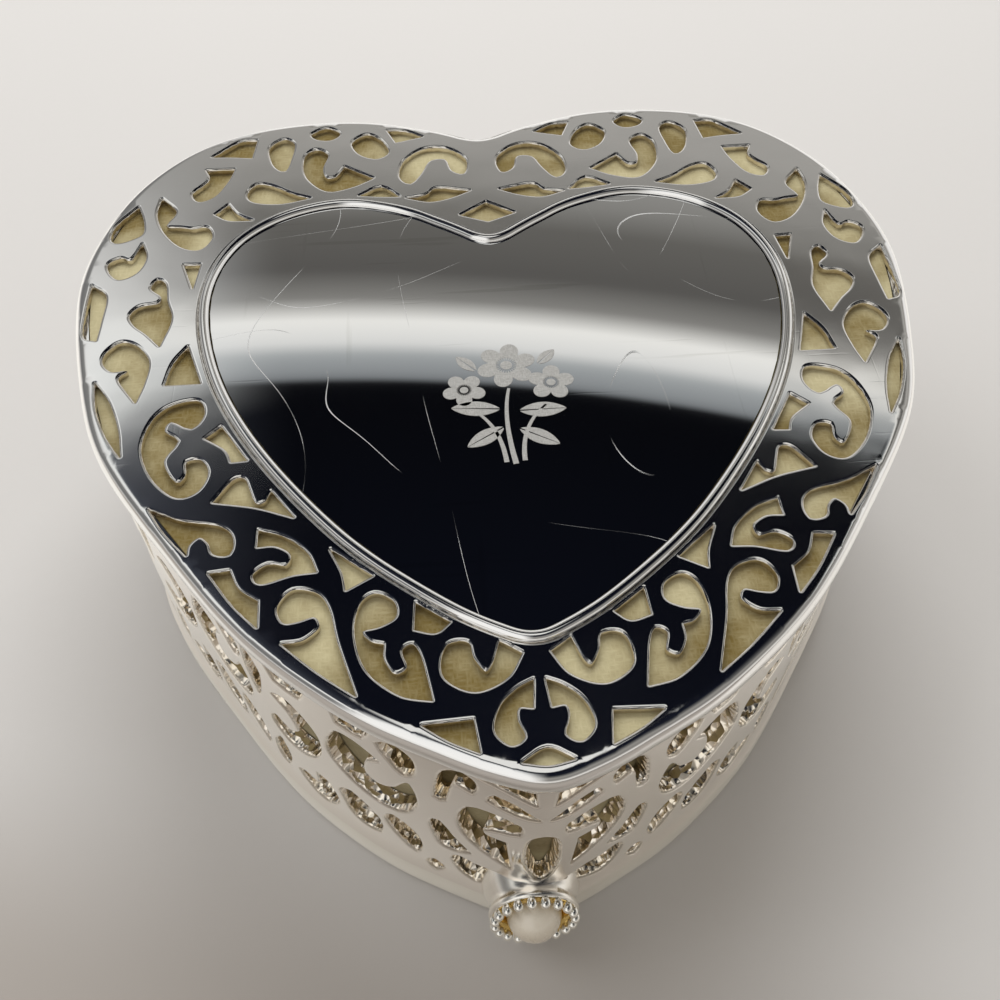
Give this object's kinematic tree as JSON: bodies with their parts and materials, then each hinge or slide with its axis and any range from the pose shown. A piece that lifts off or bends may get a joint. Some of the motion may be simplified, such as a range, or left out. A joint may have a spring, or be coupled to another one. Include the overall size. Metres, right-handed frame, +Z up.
{
  "type": "wind-up music box",
  "caption": "Heart-shaped pierced silver-plated musical jewel box with a hinged lid, a mirror plaque, a pearl at the tip and a wind-up cylinder movement inside.",
  "frame": {"origin": "on the table, under the middle of the box's bounding box", "axes": "+Z up, -Y towards the heart's tip and its pearl, +X to the right seen from the tip"},
  "size_m": [0.1038, 0.1071, 0.0421],
  "materials": {
    "silver_plate": "silver-plated casting, tarnish in the recesses, polished high spots",
    "mirror_plate": "mirror polished with a frosted engraved spray",
    "lining_cloth": "khaki cloth on board",
    "velvet": "short velvet pile",
    "baize": "felt-covered board",
    "pearl": "pearlescent glaze",
    "brass": "turned and polished",
    "steel": "ground steel",
    "cast_zinc": "die-cast zinc, satin"
  },
  "bodies": {
    "box": {"body_shell": "silver_plate", "base_rim": "silver_plate", "wall_lining": "lining_cloth", "floor_plate": "steel", "floor_screws": "steel", "underside_board": "baize", "underside_screws": "steel", "hinge_body_leaf": "silver_plate", "hinge_pin": "steel", "pearl_collar": "silver_plate", "prong_ring": "silver_plate", "pearl_seat": "brass", "pearl": "pearl", "divider": "velvet", "movement_cover": "velvet", "compartment_pad": "velvet", "bedplate": "cast_zinc", "bedplate_screws": "steel", "spring_housing": "cast_zinc", "mainspring": "steel", "housing_bridge": "cast_zinc", "bridge_screws": "steel", "cylinder_bearing": "cast_zinc", "bearing_screws": "steel", "comb": "steel", "comb_rest": "cast_zinc", "comb_screws": "steel", "second_bearing": "cast_zinc", "governor_bracket": "cast_zinc", "governor_screws": "steel", "stop_guide": "brass", "lever_post": "cast_zinc"},
    "lid": {"lid_frame": "silver_plate", "plaque_rim": "silver_plate", "plaque": "mirror_plate", "lid_lining": "lining_cloth", "lid_pad": "velvet", "hinge_lid_leaf": "silver_plate"},
    "cylinder": {"tune_cylinder": "brass", "cylinder_pins": "steel", "cylinder_arbor": "steel", "cylinder_pinion": "brass", "cylinder_gear": "brass"},
    "great_wheel_set": {"great_wheel": "brass", "click": "steel"},
    "winding_set": {"winding_arbor": "steel", "ratchet_wheel": "steel", "winding_key": "steel"},
    "second_set": {"second_arbor": "steel", "worm_wheel": "brass"},
    "governor_set": {"governor_worm": "steel", "governor_fan": "brass"},
    "stop_pin": {"stop_pin": "steel"},
    "stop_lever": {"stop_lever": "steel"}
  },
  "joints": [
    {"name": "lid_hinge", "type": "hinge", "parent": "box", "child": "lid", "pos_m": [0, 0.05125, 0.0344], "axis": [-1, 0, 0], "range_deg": [0, 100]},
    {"name": "cylinder_spin", "type": "hinge", "parent": "box", "child": "cylinder", "pos_m": [0.009, 0.03095, 0.0233], "axis": [1, 0, 0], "continuous": true},
    {"name": "great_wheel_spin", "type": "hinge", "parent": "box", "child": "great_wheel_set", "pos_m": [-0.012, 0.03095, 0.018], "axis": [0, 0, 1], "continuous": true},
    {"name": "key_winding", "type": "hinge", "parent": "great_wheel_set", "child": "winding_set", "pos_m": [-0.012, 0.03095, 0.01], "axis": [0, 0, 1], "continuous": true},
    {"name": "second_arbor_spin", "type": "hinge", "parent": "box", "child": "second_set", "pos_m": [0.02, 0.02448, 0.01787], "axis": [1, 0, 0], "continuous": true},
    {"name": "governor_spin", "type": "hinge", "parent": "box", "child": "governor_set", "pos_m": [0.02184, 0.01999, 0.02], "axis": [0, 0, 1], "continuous": true},
    {"name": "stop_pin_rise", "type": "slide", "parent": "box", "child": "stop_pin", "axis": [0, 0, 1], "range_m": [0, 0.0026]},
    {"name": "stop_lever_tilt", "type": "hinge", "parent": "box", "child": "stop_lever", "pos_m": [0.02694, 0.02499, 0.0249], "axis": [-1, 0, 0], "range_deg": [0, 9.5]}
  ],
  "couplings": [
    {"joint": "great_wheel_spin", "follows": "cylinder_spin", "ratio": 0.4375},
    {"joint": "second_arbor_spin", "follows": "cylinder_spin", "ratio": -3},
    {"joint": "governor_spin", "follows": "cylinder_spin", "ratio": -72},
    {"joint": "stop_pin_rise", "follows": "lid_hinge", "m_per_rad": 0.00143},
    {"joint": "stop_lever_tilt", "follows": "lid_hinge", "ratio": 0.09}
  ]
}
